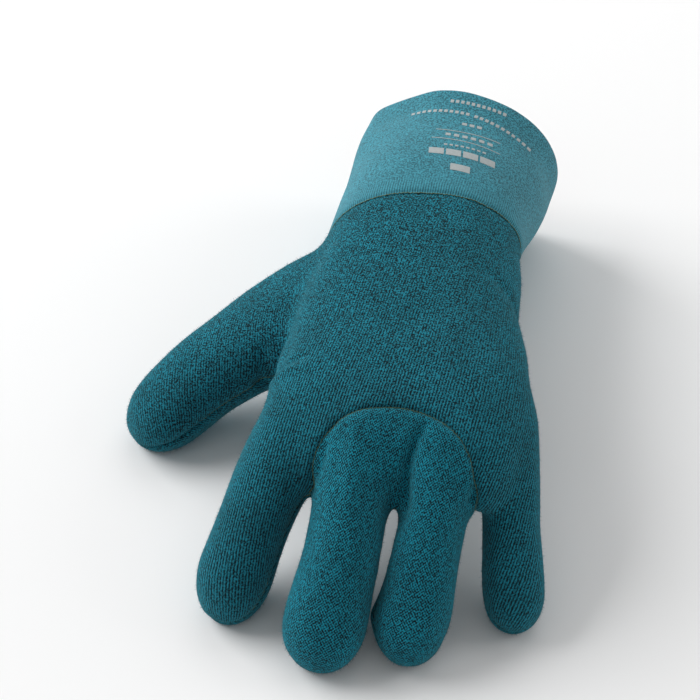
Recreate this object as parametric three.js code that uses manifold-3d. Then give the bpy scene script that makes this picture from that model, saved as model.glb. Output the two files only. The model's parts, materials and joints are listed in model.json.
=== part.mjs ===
// A five-finger diving glove of thick neoprene, as it lies by itself: it stands on the underside of
// its cuff, its thumb and its fingertips, with the hand arched clear of the surface.
// Frame: millimetres, +Z up, fingers towards -Y, cuff towards +Y, thumb towards -X. The origin is the
// middle of the bounding box, on the surface that the glove lies on.
import * as THREE from "three";
import { mergeVertices } from "three/addons/utils/BufferGeometryUtils.js";
import Module from "manifold-3d";

// Sheet
const WALL = 5; // neoprene with its knitted faces
const SEAM_GAP = 0.35; // clearance between two panels along a seam
const PRESS = 1.2; // how far the soft sheet flattens where it meets the surface

// Hand
const HAND_LENGTH = 95; // knuckles to cuff seam
const KNUCKLE_WIDTH = 98;
const KNUCKLE_THICKNESS = 42;
const KNUCKLE_HEIGHT = 54; // middle of the knuckles above the surface
const WEB_LENGTH = 35; // knuckles to the crotches between the fingers
const WEB_TAPER = 50; // length over which the hand thins towards the crotches
const WRIST_WIDTH = 80;
const WRIST_THICKNESS = 62;
const WRIST_HEIGHT = 50; // middle of the wrist above the surface

// Cuff
const CUFF_LENGTH = 77;
const RIM_WIDTH = 86;
const RIM_THICKNESS = 70;
const CUFF_TURN = 5.5; // degrees that the cuff turns towards the little finger
const CUFF_SEAM_TURN = 7; // degrees that its seam slants, further down the hand on the thumb's side

// Fingers. Length runs from the root to the tip, and width from the root's to the tip's, with the
// thickness before both are shaped by the rows below. Splay is the heading in degrees at the root,
// towards the little finger, and turn is what it gains by the tip.
const FINGERS = {
  index: { length: 89, width: 30, tip: 27, thickness: 27, splay: -20, turn: 2 },
  middle: { length: 104, width: 29.5, tip: 32, thickness: 28, splay: -5, turn: 0 },
  ring: { length: 97, width: 28.5, tip: 27.5, thickness: 27, splay: -4, turn: 0 },
  little: { length: 90, width: 24.5, tip: 24, thickness: 25, splay: 16, turn: -12 },
  thumb: { length: 122, width: 34, tip: 33, thickness: 30, splay: -71, turn: 27 },
};
// Where each finger starts, inside the hand, from the middle of the knuckles: side is a share of the
// knuckle width, back a share of the hand's length and lift a share of the knuckle thickness.
const ROOTS = {
  index: { side: -0.352, back: 0, lift: -0.05 },
  middle: { side: -0.107, back: 0, lift: 0.07 },
  ring: { side: 0.189, back: 0, lift: 0.05 },
  little: { side: 0.372, back: 0.168, lift: -0.1 },
  thumb: { side: -0.143, back: 0.768, lift: -0.1 },
};
const DROOP = { root: 14, tip: 46 }; // degrees below level, before the tip is brought to the surface
const THUMB_DROOP = { root: 14, tip: 34 };
const TIP_ROUNDING = 0.62; // length of a rounded tip, as a share of the finger's width

// How a finger's width (across) and thickness (over) change along it, as shares of its named sizes.
const FINGER_ROWS = [
  { along: 0.0, across: 0.85, over: 1.05 },
  { along: 0.14, across: 0.96, over: 1.24 },
  { along: 0.35, across: 0.97, over: 1.05 },
  { along: 0.55, across: 0.92, over: 0.96 },
  { along: 0.8, across: 1.0, over: 0.96 },
  { along: 1.0, across: 1.0, over: 0.92 },
];
const THUMB_ROWS = [
  { along: 0.0, across: 1.66, over: 1.3 },
  { along: 0.3, across: 1.55, over: 1.3 },
  { along: 0.6, across: 1.12, over: 1.08 },
  { along: 0.8, across: 1.0, over: 0.98 },
  { along: 1.0, across: 0.98, over: 0.92 },
];

// Sections of the hand between the knuckles (0) and the cuff seam (1). Mix is how far the width,
// thickness and height have gone from the knuckle's values to the wrist's. Side is a share of the
// knuckle width, drop is a share of the knuckle height, and square is the power of the rounded section.
const HAND_ROWS = [
  { along: -0.36, mix: 0.0, side: -0.02, drop: 0.22, square: 2.4 },
  { along: -0.18, mix: 0.0, side: -0.02, drop: 0.09, square: 2.4 },
  { along: 0.0, mix: 0.0, side: -0.02, drop: 0.02, square: 2.4 },
  { along: 0.3, mix: 0.3, side: -0.03, drop: 0.0, square: 2.4 },
  { along: 0.6, mix: 0.75, side: -0.045, drop: 0.0, square: 2.3 },
  { along: 0.85, mix: 1.0, side: -0.045, drop: 0.0, square: 2.2 },
  { along: 1.0, mix: 1.0, side: -0.045, drop: 0.0, square: 2.1 },
];
// Sections of the cuff between its seam (0) and its rim (1). Mix goes from the wrist to the rim.
const CUFF_ROWS = [
  { along: 0.0, mix: 0.0, square: 2.1 },
  { along: 0.25, mix: 0.16, square: 2.1 },
  { along: 0.55, mix: 0.62, square: 2.1 },
  { along: 0.82, mix: 0.98, square: 2.15 },
  { along: 1.0, mix: 1.0, square: 2.15 },
];
// Soft dents of the cuff, which fade towards its seam. Angle is counted from the little-finger side
// over the back of the hand, spread is in degrees too, and sink is a share of the rim's half sizes.
const CUFF_DENTS = [
  { angle: 62, spread: 16, sink: 0.07 },
  { angle: 205, spread: 30, sink: 0.06 },
];
const FRONT_NARROWING = 0.2; // share of its width that the hand loses at the crotches

// The knuckle panel, seen from above. Left and right are the sides of its arch, as shares of the
// knuckle width. Springing and top are how far ahead of the knuckles the arch starts and ends, as
// shares of the web's length. Splay is the heading in degrees of its side by the index finger.
const KNUCKLE_PANEL = { left: -0.296, right: 0.337, springing: 0.97, top: 0.314, splay: 18 };

// The surface between back and palm follows the limbs' middle lines. Blend is how softly it goes
// from one to the next, and cell is the size of a cell of its grid.
const PARTING = { blend: 4, cell: 13 };

// Fineness
const HAND_SIDES = 24;
const FINGER_SIDES = 12;
const FINGER_STATIONS = 6;
const TIP_STATIONS = 3;
const HAND_STATIONS = 9;
const CUFF_STATIONS = 5;
const FINGER_SQUARE = 2.15; // power of a finger's rounded section

const wasm = await Module();
wasm.setup();

const degrees = THREE.MathUtils.degToRad;
const lerp = THREE.MathUtils.lerp;
const UP = new THREE.Vector3(0, 0, 1);

// A smooth value between the rows of a table, through every row.
function valueAt(rows, key, along) {
  const last = rows.length - 1;
  const t = THREE.MathUtils.clamp(along, rows[0].along, rows[last].along);
  let i = 0;
  while (i < last - 1 && t > rows[i + 1].along) i += 1;
  const slope = (a, b) => (rows[b][key] - rows[a][key]) / (rows[b].along - rows[a].along);
  const span = rows[i + 1].along - rows[i].along;
  const start = i > 0 ? slope(i - 1, i + 1) : slope(0, 1);
  const end = i + 2 <= last ? slope(i, i + 2) : slope(last - 1, last);
  const u = (t - rows[i].along) / span;
  const u2 = u * u;
  const u3 = u2 * u;
  return (
    (2 * u3 - 3 * u2 + 1) * rows[i][key] +
    (u3 - 2 * u2 + u) * span * start +
    (3 * u2 - 2 * u3) * rows[i + 1][key] +
    (u3 - u2) * span * end
  );
}

// How full a rounded end still is at a distance from it: 0 at the end and 1 past the rounding.
function fullness(distance, rounding) {
  const t = THREE.MathUtils.clamp(1 - distance / rounding, 0, 1);
  return Math.sqrt(Math.max(0, 1 - t * t));
}

// One closed ring of points round a station, in its own plane.
function ring(station, sides) {
  const points = [];
  for (let k = 0; k < sides; k += 1) {
    const angle = (k / sides) * 2 * Math.PI;
    const c = Math.cos(angle);
    const s = Math.sin(angle);
    const dent = station.dent ? station.dent(angle) : 1;
    const across = station.halfWidth * Math.sign(c) * Math.abs(c) ** (2 / station.square) * dent;
    const over = station.halfThickness * Math.sign(s) * Math.abs(s) ** (2 / station.square) * dent;
    const point = station.centre.clone();
    points.push(point.addScaledVector(station.sideways, across).addScaledVector(station.upwards, over));
  }
  return points;
}

// A geometry as a manifold solid.
function solid(geometry) {
  geometry.deleteAttribute("normal");
  geometry.deleteAttribute("uv");
  const merged = mergeVertices(geometry, 1e-4);
  return new wasm.Manifold(
    new wasm.Mesh({
      numProp: 3,
      vertProperties: merged.attributes.position.array,
      triVerts: new Uint32Array(merged.index.array),
    }),
  );
}

// A closed skin through a row of stations.
function loft(stations, sides) {
  const rings = stations.map((station) => ring(station, sides));
  const position = [];
  const push = (...points) => points.forEach((p) => position.push(p.x, p.y, p.z));
  const last = rings.length - 1;
  for (let k = 0; k < sides; k += 1) {
    const n = (k + 1) % sides;
    for (let i = 0; i < last; i += 1) {
      push(rings[i][k], rings[i + 1][n], rings[i + 1][k]);
      push(rings[i][k], rings[i][n], rings[i + 1][n]);
    }
    push(stations[0].centre, rings[0][n], rings[0][k]);
    push(stations[last].centre, rings[last][k], rings[last][n]);
  }
  const geometry = new THREE.BufferGeometry();
  geometry.setAttribute("position", new THREE.Float32BufferAttribute(position, 3));
  return solid(geometry);
}

// The axes of a section whose limb runs along a direction.
function axesFor(direction) {
  const sideways = new THREE.Vector3().crossVectors(UP, direction).normalize();
  return { sideways, upwards: new THREE.Vector3().crossVectors(direction, sideways).normalize() };
}

// The line of a finger from its root, with its droop multiplied by a factor.
function fingerLine(name, droop, factor) {
  const size = FINGERS[name];
  const root = ROOTS[name];
  const steps = 24;
  const points = [
    new THREE.Vector3(
      root.side * KNUCKLE_WIDTH,
      root.back * HAND_LENGTH,
      KNUCKLE_HEIGHT + root.lift * KNUCKLE_THICKNESS,
    ),
  ];
  for (let i = 0; i < steps; i += 1) {
    const share = (i + 0.5) / steps;
    const pitch = degrees(lerp(droop.root, droop.tip, share) * factor);
    const heading = degrees(size.splay + size.turn * share);
    const step = new THREE.Vector3(
      Math.sin(heading) * Math.cos(pitch),
      -Math.cos(heading) * Math.cos(pitch),
      -Math.sin(pitch),
    );
    points.push(points[i].clone().addScaledVector(step, size.length / steps));
  }
  return new THREE.CatmullRomCurve3(points);
}

// Stations of a finger along its line. Inset is 0 for the outer face and the wall for the inner one.
function fingerStations(name, line, inset) {
  const size = FINGERS[name];
  const rows = name === "thumb" ? THUMB_ROWS : FINGER_ROWS;
  const length = size.length - inset;
  const rounding = size.width * TIP_ROUNDING - inset / 2;
  const distances = [];
  for (let i = 0; i < FINGER_STATIONS; i += 1) {
    distances.push(lerp(inset, length - rounding, i / FINGER_STATIONS));
  }
  for (let i = 0; i <= TIP_STATIONS; i += 1) {
    const turn = (i / TIP_STATIONS) * degrees(83);
    distances.push(length - rounding + rounding * Math.sin(turn));
  }
  return distances.map((distance) => {
    const share = distance / size.length;
    const full = fullness(length - distance, rounding);
    const width = valueAt(rows, "across", share) * lerp(size.width, size.tip, share);
    const thickness = valueAt(rows, "over", share) * size.thickness;
    return {
      centre: line.getPointAt(share),
      ...axesFor(line.getTangentAt(share)),
      halfWidth: (width / 2 - inset) * full,
      halfThickness: (thickness / 2 - inset) * full,
      square: FINGER_SQUARE,
    };
  });
}

// Finds the droop that presses the finger's lowest point into the surface by PRESS.
function landFinger(name) {
  const droop = name === "thumb" ? THUMB_DROOP : DROOP;
  let low = 0.1;
  let high = 2.2;
  let line = null;
  for (let i = 0; i < 30; i += 1) {
    const factor = (low + high) / 2;
    line = fingerLine(name, droop, factor);
    const bottoms = fingerStations(name, line, 0).map((s) => s.centre.z - s.halfThickness * s.upwards.z);
    if (Math.min(...bottoms) > -PRESS) low = factor;
    else high = factor;
  }
  return line;
}

const lines = {};
for (const name of Object.keys(FINGERS)) lines[name] = landFinger(name);

// The middle line of the hand, from the crotches (below 0) over the knuckles (0) to the cuff seam (1).
function handCentre(along) {
  const level = lerp(KNUCKLE_HEIGHT, WRIST_HEIGHT, valueAt(HAND_ROWS, "mix", along));
  return new THREE.Vector3(
    valueAt(HAND_ROWS, "side", along) * KNUCKLE_WIDTH,
    along * HAND_LENGTH,
    level - valueAt(HAND_ROWS, "drop", along) * KNUCKLE_HEIGHT,
  );
}

// The middle line of the cuff, from its seam (0) to its rim (1), which lies on the surface.
function cuffCentre(along) {
  const start = handCentre(1);
  const turn = degrees(CUFF_TURN) * Math.min(1, 0.4 + along);
  return new THREE.Vector3(
    start.x + Math.sin(turn) * along * CUFF_LENGTH,
    start.y + Math.cos(turn) * along * CUFF_LENGTH,
    lerp(WRIST_HEIGHT, RIM_THICKNESS / 2 - PRESS, valueAt(CUFF_ROWS, "mix", along)),
  );
}

function handStation(along, inset) {
  const mix = valueAt(HAND_ROWS, "mix", along);
  const ahead = along * HAND_LENGTH + WEB_LENGTH - inset;
  const narrowing = 1 - FRONT_NARROWING * (1 - fullness(ahead, WEB_TAPER / 2));
  return {
    centre: handCentre(along),
    halfWidth: (lerp(KNUCKLE_WIDTH, WRIST_WIDTH, mix) / 2 - inset) * narrowing,
    halfThickness:
      (lerp(KNUCKLE_THICKNESS, WRIST_THICKNESS, mix) / 2 - inset) * fullness(ahead, WEB_TAPER - inset),
    square: valueAt(HAND_ROWS, "square", along),
  };
}

function cuffStation(along, inset) {
  const mix = valueAt(CUFF_ROWS, "mix", along);
  return {
    centre: cuffCentre(along),
    halfWidth: lerp(WRIST_WIDTH, RIM_WIDTH, mix) / 2 - inset,
    halfThickness: lerp(WRIST_THICKNESS, RIM_THICKNESS, mix) / 2 - inset,
    square: valueAt(CUFF_ROWS, "square", along),
    dent: (angle) => {
      let left = 1;
      for (const dent of CUFF_DENTS) {
        const away = (((THREE.MathUtils.radToDeg(angle) - dent.angle + 540) % 360) - 180) / dent.spread;
        left -= dent.sink * along ** 2 * Math.exp(-(away ** 2));
      }
      return left;
    },
  };
}

// The hand and cuff in one run of stations, from the rim to the crotches. The inner one runs out past
// the rim by a wall, so that the mouth is open.
function sweepStations(inset) {
  const front = (inset - WEB_LENGTH) / HAND_LENGTH;
  const stations = [];
  for (let i = 0; i <= HAND_STATIONS; i += 1) {
    const ease = 1 - Math.cos(((i / HAND_STATIONS) * Math.PI) / 2);
    stations.push(handStation(lerp(front, 1, 0.012 + 0.988 * ease), inset));
  }
  for (let i = 1; i <= CUFF_STATIONS; i += 1) stations.push(cuffStation(i / CUFF_STATIONS, inset));
  stations.forEach((station, i) => {
    const ahead = stations[Math.max(0, i - 1)].centre;
    const behind = stations[Math.min(stations.length - 1, i + 1)].centre;
    Object.assign(station, axesFor(new THREE.Vector3().subVectors(ahead, behind).normalize()));
  });
  if (inset > 0) {
    const last = stations[stations.length - 1];
    const out = new THREE.Vector3().crossVectors(last.upwards, last.sideways);
    stations.push({ ...last, centre: last.centre.clone().addScaledVector(out, WALL) });
  }
  return stations.reverse();
}

// A cutting cube larger than the glove, whose low side along an axis is at the origin.
const REACH = 3 * (HAND_LENGTH + CUFF_LENGTH + FINGERS.middle.length);
function cutter(axis) {
  const cube = new THREE.BoxGeometry(REACH, REACH, REACH);
  return cube.translate(...axis.clone().multiplyScalar(REACH / 2).toArray());
}

// The whole form, outer or inner, cut off flat at the surface or a wall above it.
function form(inset) {
  let made = loft(sweepStations(inset), HAND_SIDES);
  for (const [name, line] of Object.entries(lines)) {
    made = made.add(loft(fingerStations(name, line, inset), FINGER_SIDES));
  }
  return made.intersect(solid(cutter(UP).translate(0, 0, inset)));
}

// A point's height on the surface that parts the back of the glove from its palm. Each limb pulls the
// surface to its own middle line, the nearest ones most.
const partingPoints = [];
for (const line of Object.values(lines)) partingPoints.push(...line.getSpacedPoints(24).slice(4));
for (let i = 0; i <= 16; i += 1) partingPoints.push(handCentre(i / 16));
function partingHeight(x, y) {
  let sum = 0;
  let weights = 0;
  for (const point of partingPoints) {
    const weight = ((point.x - x) ** 2 + (point.y - y) ** 2 + PARTING.blend ** 2) ** -3;
    sum += weight * point.z;
    weights += weight;
  }
  return sum / weights;
}

// Everything under the parting surface, raised by an offset, within the hand's bounds.
function belowParting(bounds, offset) {
  const size = [0, 1].map((axis) => bounds.max[axis] - bounds.min[axis] + 2 * PARTING.cell);
  const cells = size.map((length) => Math.ceil(length / PARTING.cell));
  const geometry = new THREE.BoxGeometry(size[0], size[1], 1, cells[0], cells[1], 1);
  geometry.translate((bounds.min[0] + bounds.max[0]) / 2, (bounds.min[1] + bounds.max[1]) / 2, 0);
  const position = geometry.attributes.position;
  for (let i = 0; i < position.count; i += 1) {
    const top = partingHeight(position.getX(i), position.getY(i)) + offset;
    position.setZ(i, position.getZ(i) > 0 ? top : -WALL);
  }
  return solid(geometry);
}

// Everything on the rim's side of the cuff seam, moved towards the rim by an offset.
function behindCuffSeam(offset) {
  const place = handCentre(1);
  const geometry = cutter(new THREE.Vector3(0, 1, 0)).translate(0, offset, 0);
  geometry.rotateZ(degrees(CUFF_SEAM_TURN)).translate(place.x, place.y, 0);
  return solid(geometry);
}

// Everything over or under the knuckle panel: an upright prism, arched over the knuckles and open
// past the fingertips. Grow widens it all round.
function overKnuckles(grow) {
  const left = KNUCKLE_PANEL.left * KNUCKLE_WIDTH - grow;
  const right = KNUCKLE_PANEL.right * KNUCKLE_WIDTH + grow;
  const springing = -KNUCKLE_PANEL.springing * WEB_LENGTH;
  const rise = (KNUCKLE_PANEL.springing - KNUCKLE_PANEL.top) * WEB_LENGTH + grow;
  const end = -FINGERS.middle.length - KNUCKLE_HEIGHT;
  const spread = (springing - end) * Math.tan(degrees(KNUCKLE_PANEL.splay));
  const arch = new THREE.Shape();
  arch.moveTo(right, end);
  arch.lineTo(right, springing);
  arch.absellipse((left + right) / 2, springing, (right - left) / 2, rise, 0, Math.PI, false, 0);
  arch.lineTo(left - spread, end);
  const height = 2 * (KNUCKLE_HEIGHT + KNUCKLE_THICKNESS);
  return solid(new THREE.ExtrudeGeometry(arch, { depth: height, bevelEnabled: false, curveSegments: 10 }));
}

// A solid as a named mesh with its own material.
function mesh(name, manifold, colour, roughness) {
  const data = manifold.getMesh();
  const geometry = new THREE.BufferGeometry();
  geometry.setAttribute("position", new THREE.BufferAttribute(data.vertProperties, 3));
  geometry.setIndex(new THREE.BufferAttribute(data.triVerts, 1));
  const material = new THREE.MeshStandardMaterial({ color: colour, roughness, metalness: 0 });
  const made = new THREE.Mesh(geometry, material);
  made.name = name;
  return made;
}

const shell = form(0).subtract(form(WALL));
const cuff = shell.intersect(behindCuffSeam(SEAM_GAP / 2));
const hand = shell.subtract(behindCuffSeam(-SEAM_GAP / 2));
const extent = hand.boundingBox();
const palm = hand.intersect(belowParting(extent, -SEAM_GAP / 2));
const back = hand.subtract(belowParting(extent, SEAM_GAP / 2));
const knuckles = back.intersect(overKnuckles(-SEAM_GAP / 2));
const handBack = back.subtract(overKnuckles(SEAM_GAP / 2));

const glove = new THREE.Group();
glove.add(mesh("cuff", cuff, 0x2f8796, 0.8));
glove.add(mesh("hand_back_panel", handBack, 0x1f6b7a, 0.95));
glove.add(mesh("knuckle_panel", knuckles, 0x1f6b7a, 0.95));
glove.add(mesh("palm_panel", palm, 0x1b5f6d, 0.95));

const box = new THREE.Box3().setFromObject(glove);
const middle = box.getCenter(new THREE.Vector3());
glove.position.set(-middle.x, -middle.y, -box.min.z);
export default glove;
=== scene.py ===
"""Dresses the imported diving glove: a smooth jersey cuff, plush panels with their pile, and sewn seams."""

import json
import math

import bmesh
import bpy
import numpy as np
from bpy.props import BoolProperty, FloatProperty, FloatVectorProperty, IntProperty, PointerProperty
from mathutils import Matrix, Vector, noise
from mathutils.bvhtree import BVHTree
from mathutils.kdtree import KDTree

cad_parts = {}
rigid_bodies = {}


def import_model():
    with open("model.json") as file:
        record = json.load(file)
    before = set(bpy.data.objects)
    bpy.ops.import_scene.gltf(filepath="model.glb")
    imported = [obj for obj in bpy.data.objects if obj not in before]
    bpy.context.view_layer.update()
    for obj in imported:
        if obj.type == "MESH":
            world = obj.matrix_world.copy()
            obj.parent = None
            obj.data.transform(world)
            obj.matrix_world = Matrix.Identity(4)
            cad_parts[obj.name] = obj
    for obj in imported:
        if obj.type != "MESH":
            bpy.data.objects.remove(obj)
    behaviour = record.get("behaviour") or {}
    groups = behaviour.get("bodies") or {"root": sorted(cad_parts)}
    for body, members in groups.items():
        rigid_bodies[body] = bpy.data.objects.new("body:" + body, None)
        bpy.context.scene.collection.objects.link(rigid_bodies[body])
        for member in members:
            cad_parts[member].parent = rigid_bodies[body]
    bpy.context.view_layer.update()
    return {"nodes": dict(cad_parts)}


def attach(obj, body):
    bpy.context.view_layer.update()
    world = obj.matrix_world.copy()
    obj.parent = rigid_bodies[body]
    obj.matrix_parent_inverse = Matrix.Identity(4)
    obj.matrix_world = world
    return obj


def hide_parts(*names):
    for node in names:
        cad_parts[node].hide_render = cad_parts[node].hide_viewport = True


bl_info = {
    "name": "Diving glove",
    "version": (1, 0, 0),
    "blender": (4, 5, 0),
    "location": "3D View > Sidebar > Glove",
    "description": "A five-finger diving glove of thick neoprene with its plush lining outwards",
    "category": "Object",
}

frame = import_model()
MM = 0.001

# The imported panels, with the slot and the pile of each.
PANELS = {
    "cuff": "smooth_jersey",
    "palm_panel": "plush_lining",
    "knuckle_panel": "plush_lining",
    "hand_back_panel": "plush_lining",
}
CUFF, PALM, KNUCKLES, BACK = range(4)

# Middle lines of the hand, the thumb and the fingers in millimetres, from the root to the tip.
LIMBS = {
    "hand": [(22, 52, 50), (22, 23, 50), (23, -15, 53), (24, -43, 53), (24, -72, 45)],
    "thumb": [(12, 29, 50), (-15, 18, 42), (-30, 10, 36), (-49, -2, 27), (-62, -12, 19), (-82, -30, 4)],
    "index": [(-8, -43, 52), (-15, -63, 44), (-19, -74, 37), (-24, -88, 27), (-27, -97, 18), (-31, -110, 4)],
    "middle": [(16, -43, 57), (14, -68, 48), (12, -82, 41), (11, -99, 30), (10, -111, 20), (8, -129, 4)],
    "ring": [(45, -43, 56), (43, -66, 47), (42, -79, 40), (41, -94, 29), (40, -105, 19), (39, -121, 4)],
    "little": [(63, -27, 50), (68, -48, 42), (70, -60, 36), (73, -75, 26), (74, -85, 17), (76, -100, 4)],
}
# The middle line of the cuff in millimetres, with half the width and half the height there.
CUFF_LINE = [(22, 30, 50, 40, 25), (22, 52, 50, 36, 30), (25, 90, 41, 38, 36), (29, 128, 34, 38, 34)]
# The angle in degrees at which the wales of the cloth cross the length of the hand.
WALE_TURN = -9
# One unit of the knit map is this long.
KNIT_UNIT = 0.1
# Rounds in which the knit coordinates settle.
KNIT_ROUNDS = 900
# How strongly the hand's own line turns the knit, and how far in metres the line of a finger does.
HAND_WEIGHT = 0.02
LIMB_REACH = 0.014

# The panels grow by this much before they are joined, so that they meet across the seams.
PANEL_GROWTH = 0.25 * MM
# The rim's end face, this far back at most, is drawn out by this much and then cut off flat.
RIM_BAND = 0.8 * MM
RIM_EXTENSION = 6 * MM
# The gap between the middle and ring fingers in plan: a place on it, its slope, how far to both sides of
# it the fingertips are moved, where that starts, over what length it grows, and how far they are moved.
GAP_X = 28.2 * MM
GAP_Y = -76 * MM
GAP_SLOPE = 0.047
GAP_REACH = 31 * MM
GAP_START = -84 * MM
GAP_RISE = 16 * MM
GAP_MOVE = 1.7 * MM

# The skin stays this far above the floor, and eases down to that over this height.
FLOOR_GAP = 0.1 * MM
FLOOR_EASE = 0.5 * MM
# The pile stays this far above the floor, and is rooted this deep in the cloth.
PILE_FLOOR_GAP = 0.02 * MM
PILE_ROOT = 0.1 * MM

# The arched seam of the knuckle panel is drawn in this many times as deep as the others, and every seam
# is drawn in deeper within this distance of the thumb's tip.
ARCH_STRENGTH = 1.5
THUMB_TIP = Vector((-68, -34, 9)) * MM
THUMB_TIP_REACH = 18 * MM
# A run of a seam that takes fewer half stitches than this gets no thread.
FEWEST_HALF_STITCHES = 18

# Soft folds in millimetres: half their width, and a line of places with the depth at each. A ridge has
# depths below zero.
FOLDS = {
    "middle_ring_crease": (
        1.7,
        [(37.7, -59.6, 66.8, 0.8), (34.8, -65.2, 64.2, 2.1),
         (33.1, -70.9, 59.3, 3.1), (32.1, -83, 47.8, 3.3)],
    ),
    "middle_ring_hollow": (
        4.5,
        [(36.5, -62, 65.5, 0.5), (33.1, -70.9, 59.3, 1.5), (31.8, -85.9, 45.5, 1.6)],
    ),
    "index_middle_crease": (
        2.2,
        [(2.4, -69, 59.9, 0.5), (0.6, -75.8, 53.3, 1.6), (-2.1, -78.2, 45.4, 2.0)],
    ),
    "ring_little_crease": (
        2.0,
        [(59.6, -65, 60.1, 0.8), (58.6, -72.7, 52, 2.0), (57.9, -77.2, 48.6, 2.2)],
    ),
    "middle_ridge": (
        3.2,
        [(11.7, -64.3, 67.4, -0.6), (12.7, -72.9, 63.3, -1.4),
         (14, -85.1, 55.4, -0.9), (14.7, -96.9, 46.9, -0.2)],
    ),
    "panel_edge_valley": (
        2.0,
        [(4.7, -62.3, 64.5, 0.3), (2.4, -69, 59.9, 0.8), (1.7, -75.9, 54.8, 0.4)],
    ),
    "thumb_valley": (
        4.0,
        [(-25.6, 7, 56.2, 0.5), (-20.2, -15.3, 62.6, 1.2),
         (-19.5, -27.9, 64.5, 1.3), (-22.7, -34.1, 60.5, 1.4)],
    ),
    "thumb_web_crease": (
        1.6,
        [(-28.8, -26, 50, 1.0), (-22.7, -35.5, 60.5, 1.4), (-17, -36, 66.2, 0.9), (-9.1, -34, 70.5, 0.2)],
    ),
    "thumb_web_ridge": (
        2.6,
        [(-24, -41, 59, -0.7), (-16.1, -40, 66.4, -0.9), (-7, -38.5, 70.6, -0.4)],
    ),
    "thumb_web_pocket": (
        3.0,
        [(-32.7, -10.4, 43.4, 1.0), (-31.5, -13.9, 34.5, 2.0), (-32.6, -14.9, 29.6, 2.0)],
    ),
    "wrist_fold": (
        3.0,
        [(64, 10, 57, 1.4), (56.8, 15.9, 68.6, 0.9), (48.5, 18.3, 74.2, 0.2)],
    ),
    "wrist_pucker": (
        2.2,
        [(-22, 33, 56, 0.7), (-12.4, 29.5, 68.1, 0.4), (-6.1, 27.4, 73.6, 0.1)],
    ),
}

# Local corrections of the lying form in millimetres: a line of places, how far round it they reach, a
# move, and how much the form swells there.
NUDGES = {
    "cuff_left": ([(-9.5, 61.6, 60), (-9.5, 80, 58)], 18, (2.7, 0.3, 0), 0),
    "rim_left_side": ([(-9, 118.3, 53), (-9.4, 103.7, 56.9)], 9, (-3.2, -0.3, 0), 0),
    "rim_left_top": ([(1.7, 127.2, 61.6)], 12, (0.9, 0, -2.9), 0),
    "rim_top": ([(25.2, 128, 68.3)], 12, (0, 0, 2.0), 0),
    "rim_right_top": ([(48.6, 123.4, 63.1)], 10, (0, 0, 2.7), 0),
    "rim_right": ([(65.4, 120.3, 52.9), (68.7, 113, 45.6)], 10, (-1.7, -0.5, -0.3), 0),
    "wrist_right": ([(62, 33, 54)], 12, (3.2, 0.3, 0), 0),
    "hand_right": ([(67.1, -8, 58), (71, -30, 56)], 17, (2.5, 0.3, 0), 0),
    "thumb_root": ([(-45.8, 10.3, 48.1), (-36.1, 17.9, 53.5), (-25.9, 26.9, 58.1)], 13, (0.3, -3.0, -3.0), 0),
    "thumb_back": ([(-62, 0, 33)], 14, (-0.5, 0.7, 0.6), 0),
    "thumb_tip": ([(-70, -28, 13)], 15, (-0.4, -0.6, -0.5), 1.9),
    "index": ([(-19, -74, 37), (-27, -97, 18), (-31, -110, 4)], 18, (0.5, 0.1, 0), 1.4),
    "middle": ([(13, -76, 43), (11, -99, 30)], 14, (1.8, 0.2, 0), -0.4),
    "middle_left": ([(2.4, -87, 49.8), (1, -98.9, 40.9), (-0.2, -109.3, 33.1)], 8, (2.6, 0.3, 0), 0),
    "ring": ([(42, -80, 40), (41, -97, 28)], 15, (3.3, 0.4, 0), 0.2),
    "ring_tip": ([(39.5, -114, 10)], 11, (1.4, 0.1, 0), 0.1),
    "little_tip": ([(75, -92, 10)], 15, (2.9, 0.3, 0), 0),
}


def length(name, description, millimetres, low=0.0):
    """A length setting, given in millimetres and kept in metres."""
    return FloatProperty(
        name=name,
        description=description,
        default=millimetres * MM,
        min=low * MM,
        precision=5,
        subtype="DISTANCE",
        unit="LENGTH",
    )


def linear(code):
    """An sRGB hex colour as linear red, green, blue and alpha."""
    values = [int(code[i : i + 2], 16) / 255 for i in (1, 3, 5)]
    return tuple(v / 12.92 if v <= 0.04045 else ((v + 0.055) / 1.055) ** 2.4 for v in values) + (1.0,)


def colour(name, description, code):
    """A colour setting from an sRGB hex value."""
    return FloatVectorProperty(
        name=name, description=description, subtype="COLOR", size=4, min=0, max=1, default=linear(code)
    )


class GloveFormSettings(bpy.types.PropertyGroup):
    """Sizes of the neoprene sheet and its folds."""

    voxel: length("Fineness", "Size of a cell when the panels are joined into one skin", 1.1, 0.6)
    wall: length("Sheet", "Thickness of the neoprene with its knitted faces", 4.6, 1)
    softening: IntProperty(
        name="Softening", description="Rounds of smoothing that take the facets out", default=70, min=0
    )
    tuck: length("Tuck", "How far the cloth lies inside the packed solids, to leave room for its pile", 0.15)
    seam_depth: length("Seam depth", "How far the sheet is drawn in at a sewn seam", 0.8)
    seam_width: length("Seam width", "How far beside a seam the sheet is drawn in", 0.8, 0.1)
    fold_depth: FloatProperty(
        name="Folds", description="Depth of the soft folds, 1 as photographed", default=1.0, min=0, max=2
    )
    unevenness: length("Unevenness", "Height of the faint waves of the soft sheet", 0.3)


class ThreadSettings(bpy.types.PropertyGroup):
    """Sizes and colour of the sewing."""

    diameter: length("Thread", "Diameter of the sewing thread", 0.34, 0.1)
    pitch: length("Stitch length", "Length of one stitch along the seam", 1.7, 0.5)
    width: length("Stitch width", "How far the thread zigzags across the seam", 0.45)
    colour: colour("Thread colour", "Olive polyester thread", "#5f6f4c")


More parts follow.
